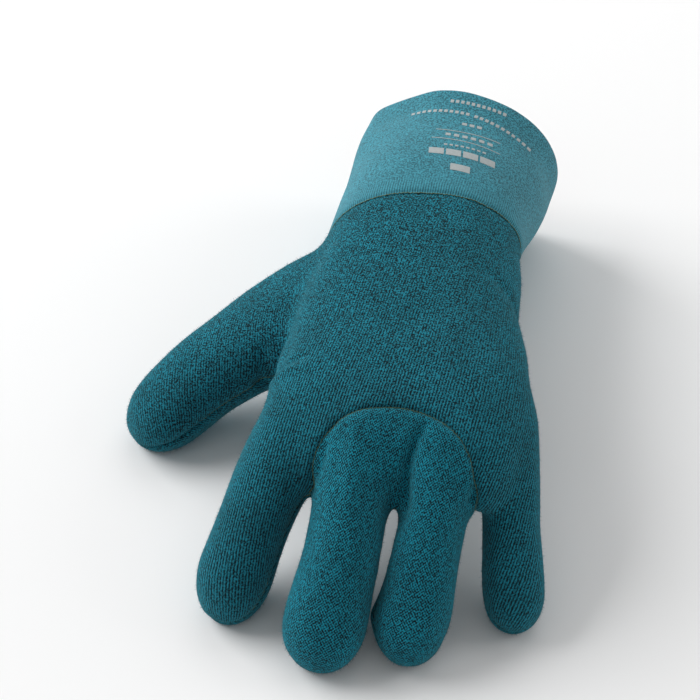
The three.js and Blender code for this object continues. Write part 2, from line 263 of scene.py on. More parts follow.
class PileSettings(bpy.types.PropertyGroup):
    """The short pile of the plush lining."""

    shown: BoolProperty(name="Pile", description="Grow single fibres out of the plush", default=True)
    length: length("Pile length", "Mean length of a fibre", 0.7, 0.1)
    thickness: length("Fibre width", "Width of a fibre at its root", 0.1, 0.02)
    per_square: FloatProperty(
        name="Fibres", description="Fibres on each square millimetre of plush", default=1.5, min=0
    )


class PrintSettings(bpy.types.PropertyGroup):
    """The plain printed bars on the cuff."""

    proud: length("Print height", "How far the printed film stands over the jersey", 0.12, 0.02)
    ink: colour("Ink", "Pale screen-printed ink", "#a8b0b1")


class FinishSettings(bpy.types.PropertyGroup):
    """Colours of the cloths."""

    jersey: colour("Cuff", "Smooth jersey of the cuff", "#378090")
    plush: colour("Plush", "Tops of the loops of the plush lining", "#1d8196")
    # Brighter and more saturated than the plush: partly the knuckle panel's own tone, partly painted sheen
    # where light grazes the knuckle ridge.
    knuckle_plush_and_sheen: colour("Knuckle plush", "Tops of the loops of the knuckle panel", "#178ea6")
    # Painted shade: this near-black teal is the shade in the gaps between the loops of the pile, painted into
    # the plush's colour.
    plush_gap_shade: colour("Plush ground", "The dark between the loops", "#04161c")
    inner: colour("Inside", "Black neoprene face inside the glove", "#15171a")


class StageSettings(bpy.types.PropertyGroup):
    """Camera, light and floor."""

    azimuth: FloatProperty(name="Azimuth", description="Camera's turn", default=9.1, unit="NONE")
    elevation: FloatProperty(name="Elevation", description="Camera's height angle", default=46.0)
    distance: length("Distance", "Camera's distance from the point it aims at", 840)
    lens: FloatProperty(name="Lens", description="Focal length in millimetres", default=110.0)
    floor: colour("Floor", "Pale floor", "#fbfbfb")
    light: FloatProperty(name="Light", description="Strength of all lights", default=1.0, min=0)


def new_object(name, mesh):
    """Links a mesh as a new object at the origin."""
    made = bpy.data.objects.new(name, mesh)
    bpy.context.scene.collection.objects.link(made)
    return made


def mesh_from(name, bm):
    """A mesh from a bmesh, which is then freed."""
    mesh = bpy.data.meshes.new(name)
    bm.to_mesh(mesh)
    bm.free()
    return mesh


def points_of(mesh):
    """The vertices of a mesh as an array."""
    points = np.empty(len(mesh.vertices) * 3)
    mesh.vertices.foreach_get("co", points)
    return points.reshape(-1, 3)


def normals_of(mesh):
    """The vertex normals of a mesh as an array."""
    normals = np.empty(len(mesh.vertices) * 3, np.float32)
    mesh.vertex_normals.foreach_get("vector", normals)
    return normals.reshape(-1, 3).astype(float)


def move_points(mesh, points):
    """Puts a mesh's vertices in new places."""
    mesh.vertices.foreach_set("co", points.astype(np.float32).ravel())
    mesh.update()


def edges_of(mesh):
    """The two ends of every edge."""
    ends = np.empty(len(mesh.edges) * 2, np.int32)
    mesh.edges.foreach_get("vertices", ends)
    return ends.reshape(-1, 2)


def averaged(values, ends, rounds, share=0.5):
    """Values on vertices, moved towards their neighbours' mean a number of times."""
    flat = values.reshape(len(values), -1).copy()
    start = np.concatenate([ends[:, 0], ends[:, 1]])
    finish = np.concatenate([ends[:, 1], ends[:, 0]])
    count = np.maximum(np.bincount(start, minlength=len(flat)), 1)
    for _ in range(rounds):
        for column in range(flat.shape[1]):
            total = np.bincount(start, weights=flat[finish, column], minlength=len(flat))
            flat[:, column] += share * (total / count - flat[:, column])
    return flat.reshape(values.shape)


def line_gaps(points, line):
    """Each point's distance to a line of places in metres, its nearest piece, and the share along that."""
    nearest = np.linalg.norm(points - line[0], axis=1)
    piece = np.zeros(len(points), int)
    share = np.zeros(len(points))
    for number, (a, b) in enumerate(zip(line[:-1], line[1:])):
        along = np.clip((points - a) @ (b - a) / ((b - a) @ (b - a)), 0, 1)
        away = np.linalg.norm(points - a - along[:, None] * (b - a), axis=1)
        closer = away < nearest
        nearest = np.where(closer, away, nearest)
        piece = np.where(closer, number, piece)
        share = np.where(closer, along, share)
    return nearest, piece, share


def held_apart(points):
    """The moves that part the middle and ring fingertips, which nearly touch, while the skin is joined."""
    apart = points[:, 0] - GAP_X - GAP_SLOPE * (points[:, 1] - GAP_Y)
    near = np.exp(-((apart / GAP_REACH) ** 16))
    out = np.clip((GAP_START - points[:, 1]) / GAP_RISE, 0, 1)
    return np.outer(np.sign(apart) * near * out * GAP_MOVE, (1.0, 0.0, 0.0))


def merged_copy(node, grow):
    """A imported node's loose triangles joined in a bmesh, corrected locally and grown all round."""
    bm = bmesh.new()
    bm.from_mesh(frame["nodes"][node].data)
    bmesh.ops.remove_doubles(bm, verts=bm.verts, dist=1e-6)
    bm.normal_update()
    points = np.array([vert.co for vert in bm.verts])
    normals = np.array([vert.normal for vert in bm.verts])
    moved = points + normals * grow
    for line, reach, move, swell in NUDGES.values():
        gaps = line_gaps(points, np.array(line, float) * MM)[0]
        near = np.exp(-((gaps / (reach * MM)) ** 2))[:, None]
        moved += near * (np.array(move, float) + normals * swell) * MM
    for vert, place in zip(bm.verts, moved.tolist()):
        vert.co = place
    return bm


def rim_plane():
    """A point on the cut end of the cuff, and the way out of it."""
    bm = merged_copy("cuff", 0)
    high = max(vert.co.y for vert in bm.verts)
    faces = [f for f in bm.faces if f.normal.y > 0.93 and f.calc_center_median().y > high - 0.02]
    way = Vector()
    place = Vector()
    area = 0
    for face in faces:
        size = face.calc_area()
        way += face.normal * size
        place += face.calc_center_median() * size
        area += size
    bm.free()
    return place / area, way.normalized()


def node_tree(node):
    """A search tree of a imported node."""
    bm = merged_copy(node, 0)
    tree = BVHTree.FromBMesh(bm)
    bm.free()
    return tree


def distances(trees, points):
    """Distance from every point to every tree, one column each."""
    return np.array([[tree.find_nearest(p)[3] for tree in trees] for p in points.tolist()])


def joined_skin(form):
    """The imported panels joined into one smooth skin, inside and outside, open at the rim."""
    rim, way = rim_plane()
    joined = bmesh.new()
    for node in PANELS:
        part = merged_copy(node, PANEL_GROWTH)
        apart = held_apart(np.array([vert.co for vert in part.verts]))
        for vert, move in zip(part.verts, apart.tolist()):
            vert.co += Vector(move)
        if node == "cuff":
            for vert in part.verts:
                if (vert.co - rim).dot(way) > -RIM_BAND:
                    vert.co += way * RIM_EXTENSION
        mesh = mesh_from("part", part)
        joined.from_mesh(mesh)
        bpy.data.meshes.remove(mesh)
    body = new_object("skin", mesh_from("skin", joined))
    cells = body.modifiers.new("cells", "REMESH")
    cells.mode = "VOXEL"
    cells.voxel_size = form.voxel
    graph = bpy.context.evaluated_depsgraph_get()
    mesh = bpy.data.meshes.new_from_object(body.evaluated_get(graph))
    bpy.data.objects.remove(body)

    ends = edges_of(mesh)
    before = points_of(mesh)
    move_points(mesh, averaged(before, ends, form.softening))
    after = points_of(mesh)
    normals = normals_of(mesh)
    lost = averaged(np.einsum("ij,ij->i", before - after, normals), ends, 4 * form.softening)
    skin = after + normals * lost[:, None]
    move_points(mesh, skin - held_apart(skin))

    bm = bmesh.new()
    bm.from_mesh(mesh)
    bpy.data.meshes.remove(mesh)
    every = bm.verts[:] + bm.edges[:] + bm.faces[:]
    bmesh.ops.bisect_plane(bm, geom=every, plane_co=rim, plane_no=way, clear_outer=True)
    keep_outside(bm)
    return bm


def keep_outside(bm):
    """Keeps the part of a bmesh that its highest vertex belongs to."""
    bm.verts.ensure_lookup_table()
    seen = {max(bm.verts, key=lambda vert: vert.co.z)}
    front = list(seen)
    while front:
        reached = []
        for vert in front:
            for edge in vert.link_edges:
                other = edge.other_vert(vert)
                if other not in seen:
                    seen.add(other)
                    reached.append(other)
        front = reached
    bmesh.ops.delete(bm, geom=[vert for vert in bm.verts if vert not in seen], context="VERTS")


def press(points, normals, width, line):
    """Draws a surface in along a line whose places hold a depth."""
    places = np.array(line, float)
    gaps, piece, share = line_gaps(points, places[:, :3] * MM)
    depth = places[piece, 3] + share * (places[piece + 1, 3] - places[piece, 3])
    return points - normals * (depth * np.exp(-((gaps / (width * MM)) ** 2)) * MM)[:, None]


def shape_skin(bm, form):
    """Gives the skin its lying form: room for the pile, soft folds, faint waves and a soft floor contact."""
    bm.normal_update()
    points = np.array([vert.co for vert in bm.verts])
    normals = np.array([vert.normal for vert in bm.verts])
    waves = np.array([noise.noise(vert.co * 60) for vert in bm.verts])
    moved = points + normals * (waves * form.unevenness - form.tuck)[:, None]
    for width, line in FOLDS.values():
        moved = press(moved, normals, width, [(x, y, z, depth * form.fold_depth) for x, y, z, depth in line])
    high = moved[:, 2]
    over = high - FLOOR_GAP - FLOOR_EASE
    moved[:, 2] = np.where(over < 0, FLOOR_GAP + FLOOR_EASE * np.exp(over / FLOOR_EASE), high)
    for vert, place in zip(bm.verts, moved.tolist()):
        vert.co = place


def cut_at_zero(bm, field, chosen):
    """Splits the chosen faces where a vertex layer crosses zero. The crossing line's vertices hold 0."""
    edges = {edge for face in chosen for edge in face.edges}
    for edge in edges:
        a, b = edge.verts
        if a[field] * b[field] < 0:
            share = a[field] / (a[field] - b[field])
            if share < 0.2:
                a.co = a.co.lerp(b.co, share)
                a[field] = 0.0
            elif share > 0.8:
                b.co = b.co.lerp(a.co, 1 - share)
                b[field] = 0.0
    for edge in edges:
        a, b = edge.verts
        if a[field] * b[field] < 0:
            place = bmesh.utils.edge_split(edge, a, a[field] / (a[field] - b[field]))[1]
            place[field] = 0.0
    on_line = {vert for face in chosen for vert in face.verts if vert[field] == 0.0}
    bmesh.ops.connect_verts(bm, verts=list(on_line))


def mark_panels(bm):
    """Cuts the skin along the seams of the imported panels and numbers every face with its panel."""
    field = bm.verts.layers.float.new("field")
    panel = bm.faces.layers.int.new("panel")
    trees = [node_tree(node) for node in PANELS]
    steps = [(CUFF, (PALM, KNUCKLES, BACK)), (PALM, (KNUCKLES, BACK)), (KNUCKLES, (BACK,))]
    for face in bm.faces:
        face[panel] = BACK
    for number, others in steps:
        bm.verts.index_update()
        points = np.array([vert.co for vert in bm.verts])
        ends = np.array([[vert.index for vert in edge.verts] for edge in bm.edges])
        apart = distances([trees[number]] + [trees[other] for other in others], points)
        values = averaged(apart[:, 1:].min(axis=1) - apart[:, 0], ends, 10)
        for vert, value in zip(bm.verts, values.tolist()):
            vert[field] = value or 1e-9
        open_faces = [face for face in bm.faces if face[panel] == BACK]
        cut_at_zero(bm, field, open_faces)
        for face in bm.faces:
            if face[panel] == BACK:
                strongest = max((vert[field] for vert in face.verts), key=abs)
                if strongest > 0:
                    face[panel] = number
    bm.verts.layers.float.remove(bm.verts.layers.float["field"])
    return bm.faces.layers.int["panel"]


def seam_edges(bm, panel):
    """The edges between two panels, under the pair of panels that they join."""
    seams = {}
    for edge in bm.edges:
        numbers = sorted({face[panel] for face in edge.link_faces})
        if len(numbers) == 2:
            seams.setdefault(tuple(numbers), []).append(edge)
    return seams


def chains(edges):
    """Edges that share ends, as runs of points with their normals."""
    links = {}
    for edge in edges:
        for vert in edge.verts:
            links.setdefault(vert, []).append(edge)
    left = set(edges)
    runs = []
    starts = [vert for vert, joined in links.items() if len(joined) != 2] + list(links)
    for start in starts:
        for first in links[start]:
            if first not in left:
                continue
            run = [start]
            edge = first
            while edge is not None:
                left.discard(edge)
                run.append(edge.other_vert(run[-1]))
                onward = [e for e in links[run[-1]] if e in left]
                edge = onward[0] if len(links[run[-1]]) == 2 and onward else None
            runs.append([(vert.co.copy(), vert.normal.copy()) for vert in run])
    return runs


def close_to(edges, bound):
    """Distance to these edges for the vertices that hang together with them and lie within a bound."""
    starts = {vert for edge in edges for vert in edge.verts}
    tree = KDTree(len(starts))
    for number, vert in enumerate(starts):
        tree.insert(vert.co, number)
    tree.balance()
    gaps = {vert: 0.0 for vert in starts}
    front = starts
    while front:
        reached = set()
        for vert in front:
            for edge in vert.link_edges:
                other = edge.other_vert(vert)
                if other not in gaps:
                    gap = tree.find(other.co)[2]
                    if gap < bound:
                        gaps[other] = gap
                        reached.add(other)
        front = reached
    return gaps


def draw_in_seams(bm, panel, form):
    """Halves the mesh beside the seams, and draws the sheet in there. The wrist seam keeps a narrow welt,
    and the sheet is drawn in deeper at the arched seam and round the thumb's tip."""
    every = [edge for edges in seam_edges(bm, panel).values() for edge in edges]
    near = close_to(every, 3 * form.seam_width)
    edges = [edge for edge in bm.edges if edge.verts[0] in near and edge.verts[1] in near]
    bmesh.ops.subdivide_edges(bm, edges=edges, cuts=1, use_grid_fill=True)
    bm.normal_update()
    moves = {}
    for pair, edges in seam_edges(bm, panel).items():
        wide = 4 * form.seam_width
        for vert, gap in close_to(edges, wide).items():
            middle = 1.1 * form.seam_width if pair[0] == CUFF else 0.0
            strength = ARCH_STRENGTH if pair == (KNUCKLES, BACK) else 1.0
            groove = math.exp(-(((gap - middle) / (0.75 * form.seam_width)) ** 2))
            soft = math.exp(-((gap / (2.2 * form.seam_width)) ** 2))
            slit = math.exp(-(((vert.co - THUMB_TIP).length / THUMB_TIP_REACH) ** 2))
            depth = form.seam_depth * strength * (groove * 0.6 + soft * 0.5) * (1 + 1.6 * slit)
            moves[vert] = max(moves.get(vert, 0.0), depth)
    for vert, depth in moves.items():
        vert.co -= vert.normal * depth


def round_ellipse(angle, wide, high):
    """Distance round an ellipse from its top to an angle."""
    travelled = np.zeros_like(angle)
    for share in (np.arange(12) + 0.5) / 12:
        travelled += np.hypot(wide * np.cos(angle * share), high * np.sin(angle * share)) * angle / 12
    return travelled


def turned_wales(flat):
    """Knit coordinates turned so that the wales cross the hand at their angle."""
    turn = math.radians(WALE_TURN)
    across = flat @ np.array([math.cos(turn), math.sin(turn)])
    along = flat @ np.array([-math.sin(turn), math.cos(turn)])
    return np.stack([across, along], axis=1)


def cuff_knit(points):
    """Round and along the cuff's cloth, in metres."""
    line = np.array(CUFF_LINE, float) * MM
    _, piece, share = line_gaps(points, line[:, :3])
    start = line[piece, :3]
    step = line[piece + 1, :3] - start
    size = np.linalg.norm(step, axis=1)
    travelled = np.concatenate([[0], np.cumsum(np.linalg.norm(np.diff(line[:, :3], axis=0), axis=1))])
    side = np.array([1.0, 0.0, 0.0])
    up = np.cross(side, step / size[:, None])
    away = points - start - share[:, None] * step
    wide, high = (line[piece, k] + share * (line[piece + 1, k] - line[piece, k]) for k in (3, 4))
    angle = np.arctan2(away @ side / wide, np.einsum("ij,ij->i", away, up) / high)
    out = travelled[piece] + share * size
    return np.stack([round_ellipse(angle, wide, high), out], axis=1)


def cloth_ways(points, normals, back):
    """Two ways in the cloth at every point, across and along the hand as the panel was cut flat. Each limb
    is taken as rolled up from the flat, so the cloth keeps its angle to the limb."""
    total = np.zeros_like(points)
    for name, places in LIMBS.items():
        line = np.array(places, float) * MM
        gaps, piece, share = line_gaps(points, line)
        steps = np.diff(line, axis=0)
        steps /= np.linalg.norm(steps, axis=1)[:, None]
        onward = steps[np.minimum(piece + 1, len(steps) - 1)]
        limb = steps[piece] * (1 - share)[:, None] + onward * share[:, None]
        out = limb - normals * np.einsum("ij,ij->i", limb, normals)[:, None]
        out /= np.maximum(np.linalg.norm(out, axis=1), 1e-6)[:, None]
        run = line[-1, :2] - line[0, :2]
        run /= np.linalg.norm(run)
        weight = HAND_WEIGHT if name == "hand" else np.exp(-((gaps / LIMB_REACH) ** 2))
        way = -run[1] * out - back * run[0] * np.cross(normals, out)
        total += way * np.broadcast_to(weight, len(points))[:, None]
    return total


def grown_apart(steps, ends, count):
    """The steps along all edges, summed up at the vertices that they lead to and from."""
    return np.bincount(ends[:, 1], steps, count) - np.bincount(ends[:, 0], steps, count)


def grown(points, ends, ways, first):
    """Values on the vertices that grow along the ways as evenly as can be, by conjugate gradients."""
    middle = (ways[ends[:, 0]] + ways[ends[:, 1]]) / 2
    wanted = np.einsum("ij,ij->i", points[ends[:, 1]] - points[ends[:, 0]], middle)
    found = first.copy()
    count = len(points)
    left = grown_apart(wanted - (found[ends[:, 1]] - found[ends[:, 0]]), ends, count)
    way = left.copy()
    size = left @ left
    for _ in range(KNIT_ROUNDS):
        pushed = grown_apart(way[ends[:, 1]] - way[ends[:, 0]], ends, count)
        step = size / (way @ pushed)
        found += step * way
        left -= step * pushed
        before, size = size, left @ left
        way = left + way * (size / before)
    return found


def panel_knit(mesh, back):
    """Across and along the cloth of a sewn panel, in metres."""
    points = points_of(mesh)
    normals = normals_of(mesh)
    ends = edges_of(mesh)
    along = averaged(cloth_ways(points, normals, back), ends, 20)
    along -= normals * np.einsum("ij,ij->i", along, normals)[:, None]
    along /= np.maximum(np.linalg.norm(along, axis=1), 1e-9)[:, None]
    across = back * np.cross(normals, along)
    return np.stack(
        [grown(points, ends, across, points[:, 0]), grown(points, ends, -along, points[:, 1])], axis=1
    )


def lay_knit(mesh, number, wrist):
    """Gives a panel its knit coordinates as a UV map, and the cuff its closeness to the wrist seam too."""
    points = points_of(mesh)
    if number == CUFF:
        flat = cuff_knit(points)
        gaps = np.array([wrist.find(place)[2] for place in points.tolist()])
        stretch = mesh.attributes.new("wrist", "FLOAT", "POINT")
        stretch.data.foreach_set("value", np.exp(-((gaps / 0.011) ** 2)).astype(np.float32))
    else:
        flat = turned_wales(panel_knit(mesh, -1.0 if number == PALM else 1.0))
    corners = np.empty(len(mesh.loops), np.int32)
    mesh.loops.foreach_get("vertex_index", corners)
    layer = mesh.uv_layers.new(name="knit")
    layer.data.foreach_set("uv", (flat[corners] / KNIT_UNIT).astype(np.float32).ravel())


def add(tree, kind, inputs=None, **settings):
    """Adds a node with its settings, its values and its links."""
    node = tree.nodes.new(kind)
    for name, value in settings.items():
        setattr(node, name, value)
    for name, value in (inputs or {}).items():
        if isinstance(value, bpy.types.NodeSocket):
            tree.links.new(value, node.inputs[name])
        else:
            node.inputs[name].default_value = value
    return node


def new_material(name, look):
    """A node material with its output and a Principled shader that has these values."""
    material = bpy.data.materials.new(name)
    material.use_nodes = True
    tree = material.node_tree
    tree.nodes.clear()
    shader = add(tree, "ShaderNodeBsdfPrincipled", look)
    add(tree, "ShaderNodeOutputMaterial", {"Surface": shader.outputs["BSDF"]})
    return material, tree, shader


def shade(code, factor):
    """A colour made lighter or darker."""
    return tuple(min(1.0, c * factor) for c in code[:3]) + (1.0,)


def knit_rows(tree, wale, course, loops):
    """Height of a knit from 0 to 1: rows of loops along the cloth, or loops set in a diamond."""
    flat = add(tree, "ShaderNodeUVMap", uv_map="knit").outputs["UV"]
    wander = add(tree, "ShaderNodeTexNoise", {"Vector": flat, "Scale": 20.0, "Detail": 2.0})
    moved = add(
        tree,
        "ShaderNodeVectorMath",
        {0: wander.outputs["Color"], 1: (0.005, 0.005, 0.0), 2: flat},
        operation="MULTIPLY_ADD",
    )
    parts = add(tree, "ShaderNodeSeparateXYZ", {"Vector": moved.outputs["Vector"]})
    waves = []
    for axis, pitch in (("X", wale), ("Y", course)):
        turns = 2 * math.pi * KNIT_UNIT / (pitch * MM)
        phase = add(tree, "ShaderNodeMath", {0: parts.outputs[axis], 1: turns}, operation="MULTIPLY")
        wave = add(tree, "ShaderNodeMath", {0: phase.outputs["Value"]}, operation="COSINE")
        waves.append(wave.outputs["Value"])
    lattice = add(tree, "ShaderNodeMath", {0: waves[0], 1: waves[1]}, operation="MULTIPLY")
    rows = add(tree, "ShaderNodeMix", {"Factor": loops, "A": waves[0], "B": lattice.outputs["Value"]})
    return rows.outputs["Result"]


def speckle(tree, place, scale, spread):
    """A fine grain from about -1 to 1. A small spread makes it crisp."""
    fine = {"Vector": place, "Scale": scale, "Detail": 1.0, "Roughness": 0.6}
    grain = add(tree, "ShaderNodeTexNoise", fine).outputs["Fac"]
    ends = {"From Min": 0.5 - spread, "From Max": 0.5 + spread, "To Min": -1.0, "To Max": 1.0}
    signed = add(tree, "ShaderNodeMapRange", {"Value": grain, **ends}, clamp=False)
    return signed.outputs["Result"]


def patchy(tree, place, cloth, scale, low, high):
    """A colour made darker and lighter in soft patches."""
    patches = add(tree, "ShaderNodeTexNoise", {"Vector": place, "Scale": scale, "Detail": 3.0})
    ends = {"From Min": 0.3, "From Max": 0.7, "To Min": low, "To Max": high}
    varied = add(tree, "ShaderNodeMapRange", {"Value": patches.outputs["Fac"], **ends})
    both = {0: cloth, 1: varied.outputs["Result"]}
    return add(tree, "ShaderNodeVectorMath", both, operation="MULTIPLY").outputs["Vector"]


def plush_ground(name, plush, dark, loops):
    """Plush lining, a terry knit of polyester: tight loops stand in rows, and the shade in the gaps between
    them is painted as a near-black ground colour, which gives a crisp dark and light grain. Wales are 1.05 mm
    apart and courses 1.4 mm. It is quite matt, and the loops catch light where the cloth turns away."""
    look = {
        "Roughness": 0.95,
        "Specular IOR Level": 0.15,
        "Sheen Weight": 0.45,
        "Sheen Roughness": 0.5,
        "Sheen Tint": linear("#6dbfcb"),
    }
    material, tree, shader = new_material(name, look)
    place = add(tree, "ShaderNodeTexCoord").outputs["Object"]
    lengthwise = add(tree, "ShaderNodeSeparateXYZ", {"Vector": place}).outputs["Y"]
    ends = {"From Min": -0.06, "From Max": 0.04, "To Min": 0.62, "To Max": 0.3}
    order = add(tree, "ShaderNodeMapRange", {"Value": lengthwise, **ends}).outputs["Result"]
    rows = knit_rows(tree, 1.05, 1.4, loops)
    parts = {"Factor": order, "A": speckle(tree, place, 1600.0, 0.12), "B": rows}
    height = add(tree, "ShaderNodeMix", parts)
    ends = {"From Min": -0.42, "From Max": 0.5}
    speck = add(tree, "ShaderNodeMapRange", {"Value": height.outputs["Result"], **ends}).outputs["Result"]
    # The loops get the plush colour, and the gaps between them get painted shade.
    cloth = add(tree, "ShaderNodeMix", {"Factor": speck, "A": dark, "B": plush}, data_type="RGBA")
    bump = add(tree, "ShaderNodeBump", {"Height": speck, "Strength": 0.8, "Distance": 0.0004})
    tinted = patchy(tree, place, cloth.outputs["Result"], 60.0, 0.86, 1.12)
    tree.links.new(tinted, shader.inputs["Base Color"])
    tree.links.new(bump.outputs["Normal"], shader.inputs["Normal"])
    return material


def jersey(finish):
    """Polyester jersey laminated on neoprene: fine, even and matt, with a faint speckle of its stitches.
    Beside the wrist seam the cloth is stretched, and its wales show as short dark ribs."""
    look = {
        "Roughness": 0.85,
        "Specular IOR Level": 0.25,
        "Sheen Weight": 0.3,
        "Sheen Roughness": 0.45,
        "Sheen Tint": linear("#a9d6dc"),
    }
    material, tree, shader = new_material("jersey_on_neoprene", look)
    place = add(tree, "ShaderNodeTexCoord").outputs["Object"]
    near = add(tree, "ShaderNodeAttribute", attribute_name="wrist").outputs["Fac"]
    share = add(tree, "ShaderNodeMath", {0: near, 1: 0.7}, operation="MULTIPLY").outputs["Value"]
    ribs = knit_rows(tree, 1.0, 1.4, 0.15)
    parts = {"Factor": share, "A": speckle(tree, place, 1350.0, 0.16), "B": ribs}
    height = add(tree, "ShaderNodeMix", parts)
    ends = {"From Min": -0.8, "From Max": 0.8}
    speck = add(tree, "ShaderNodeMapRange", {"Value": height.outputs["Result"], **ends}).outputs["Result"]
    tones = {"Factor": speck, "A": shade(finish.jersey[:], 0.45), "B": shade(finish.jersey[:], 1.42)}
    cloth = add(tree, "ShaderNodeMix", tones, data_type="RGBA")
    bump = add(tree, "ShaderNodeBump", {"Height": speck, "Strength": 0.5, "Distance": 0.0002})
    tinted = patchy(tree, place, cloth.outputs["Result"], 45.0, 0.92, 1.06)
    tree.links.new(tinted, shader.inputs["Base Color"])
    tree.links.new(bump.outputs["Normal"], shader.inputs["Normal"])
    return material


def neoprene(finish):
    """Black neoprene with its smooth skin, matt and slightly rubbery."""
    material, tree, shader = new_material("black_neoprene", {"Roughness": 0.7})
    place = add(tree, "ShaderNodeTexCoord").outputs["Object"]
    grain = add(tree, "ShaderNodeTexNoise", {"Vector": place, "Scale": 900.0, "Detail": 3.0}).outputs["Fac"]
    tones = {"Factor": grain, "A": shade(finish.inner[:], 0.7), "B": shade(finish.inner[:], 1.3)}
    skin = add(tree, "ShaderNodeMix", tones, data_type="RGBA")
    bump = add(tree, "ShaderNodeBump", {"Height": grain, "Strength": 0.3, "Distance": 0.0002})
    tree.links.new(skin.outputs["Result"], shader.inputs["Base Color"])
    tree.links.new(bump.outputs["Normal"], shader.inputs["Normal"])
    return material


def fibre(finish):
    """Polyester pile: fine fibres of uneven tone, whose ends catch the light."""
    look = {
        "Roughness": 0.8,
        "Specular IOR Level": 0.2,
        "Sheen Weight": 0.2,
        "Sheen Tint": linear("#6dbfcb"),
    }
    material, tree, shader = new_material("polyester_pile", look)
    tone = add(tree, "ShaderNodeAttribute", attribute_name="tone").outputs["Fac"]
    tones = {"Factor": tone, "A": shade(finish.plush[:], 0.35), "B": shade(finish.plush[:], 1.5)}
    dyed = add(tree, "ShaderNodeMix", tones, data_type="RGBA")
    tree.links.new(dyed.outputs["Result"], shader.inputs["Base Color"])
    return material


def ink(prints):
    """Screen-printed ink: a thin matt film, slightly broken by the knit under it."""
    material, tree, shader = new_material("screen_print_ink", {"Roughness": 0.6})
    place = add(tree, "ShaderNodeTexCoord").outputs["Object"]
    grain = add(tree, "ShaderNodeTexNoise", {"Vector": place, "Scale": 1100.0, "Detail": 2.0}).outputs["Fac"]
    tones = {"Factor": grain, "A": shade(prints.ink[:], 0.75), "B": shade(prints.ink[:], 1.15)}
    film = add(tree, "ShaderNodeMix", tones, data_type="RGBA")
    tree.links.new(film.outputs["Result"], shader.inputs["Base Color"])
    return material


def sewing_thread(thread):
    """Spun polyester thread: dull, with a faint twist."""
    material, tree, shader = new_material("seam_thread", {"Roughness": 0.75})
    place = add(tree, "ShaderNodeTexCoord").outputs["Object"]
    twist = add(tree, "ShaderNodeTexNoise", {"Vector": place, "Scale": 1200.0, "Detail": 1.0}).outputs["Fac"]
    tones = {"Factor": twist, "A": shade(thread.colour[:], 0.55), "B": shade(thread.colour[:], 1.3)}
    spun = add(tree, "ShaderNodeMix", tones, data_type="RGBA")
    tree.links.new(spun.outputs["Result"], shader.inputs["Base Color"])
    return material


# The seams that the panels leave for the threads: runs of places, under the pair of panels they join.
SEAMS = {}


class GLOVE_OT_panels(bpy.types.Operator):
    """Makes the cuff and the three panels of the hand"""

    bl_idname = "glove.panels"
    bl_label = "Glove panels"

    def execute(self, context):
        form = context.scene.glove_form
        finish = context.scene.glove_finish
        bm = joined_skin(form)
        panel = mark_panels(bm)
        shape_skin(bm, form)
        draw_in_seams(bm, panel, form)
        bm.normal_update()
        SEAMS.clear()
        for pair, edges in seam_edges(bm, panel).items():
            SEAMS[pair] = chains(edges)
        inward = bm.verts.layers.float_vector.new("inward")
        bm.verts.index_update()
        ends = np.array([[vert.index for vert in edge.verts] for edge in bm.edges])
        ways = averaged(np.array([vert.normal for vert in bm.verts]), ends, 4)
        ways /= np.linalg.norm(ways, axis=1)[:, None]
        for vert, way in zip(bm.verts, ways.tolist()):
            vert[inward] = -Vector(way)
        wrist = KDTree(sum(len(run) for pair, runs in SEAMS.items() if pair[0] == CUFF for run in runs))
        for pair, runs in SEAMS.items():
            if pair[0] == CUFF:
                for place, _ in (spot for run in runs for spot in run):
                    wrist.insert(place, 0)
        wrist.balance()
        # The painted shade of the gaps between the loops.
        dark = finish.plush_gap_shade[:]
        cloths = {
            "cuff": jersey(finish),
            # The knuckle panel's plush is lighter partly as painted sheen on the knuckle ridge.
            "knuckle_panel": plush_ground("terry_knit_diamond", finish.knuckle_plush_and_sheen[:], dark, 1.0),
        }
        plain = plush_ground("terry_knit", finish.plush[:], dark, 0.25)
        cloths["hand_back_panel"] = cloths["palm_panel"] = plain
        black = neoprene(finish)
        for number, (node, slot) in enumerate(PANELS.items()):
            part = bm.copy()
            layer = part.faces.layers.int["panel"]
            others = [face for face in part.faces if face[layer] != number]
            bmesh.ops.delete(part, geom=others, context="FACES")
            for face in part.faces:
                face.smooth = True
            mesh = mesh_from(node, part)
            lay_knit(mesh, number, wrist)
            mesh.materials.append(cloths[node])
            mesh.materials.append(black)
            piece = new_object(f"{node}_cloth", mesh)
            sheet = piece.modifiers.new("sheet", "SOLIDIFY")
            sheet.thickness = form.wall
            sheet.offset = -1
            sheet.use_even_offset = False
            sheet.material_offset = 1
            sheet.material_offset_rim = 1
            graph = context.evaluated_depsgraph_get()
            solid = bpy.data.meshes.new_from_object(piece.evaluated_get(graph))
            outer = points_of(mesh)
            ways = np.empty(len(outer) * 3, np.float32)
            mesh.attributes["inward"].data.foreach_get("vector", ways)
            inner = outer + ways.reshape(-1, 3) * form.wall
            move_points(solid, np.concatenate([outer, inner]))
            solid.attributes.remove(solid.attributes["inward"])
            piece.modifiers.clear()
            piece.data = solid
            bpy.data.meshes.remove(mesh)
            solid.set_sharp_from_angle(angle=math.radians(55))
            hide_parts(node)
            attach(piece, "root")
        bm.free()
        return {"FINISHED"}


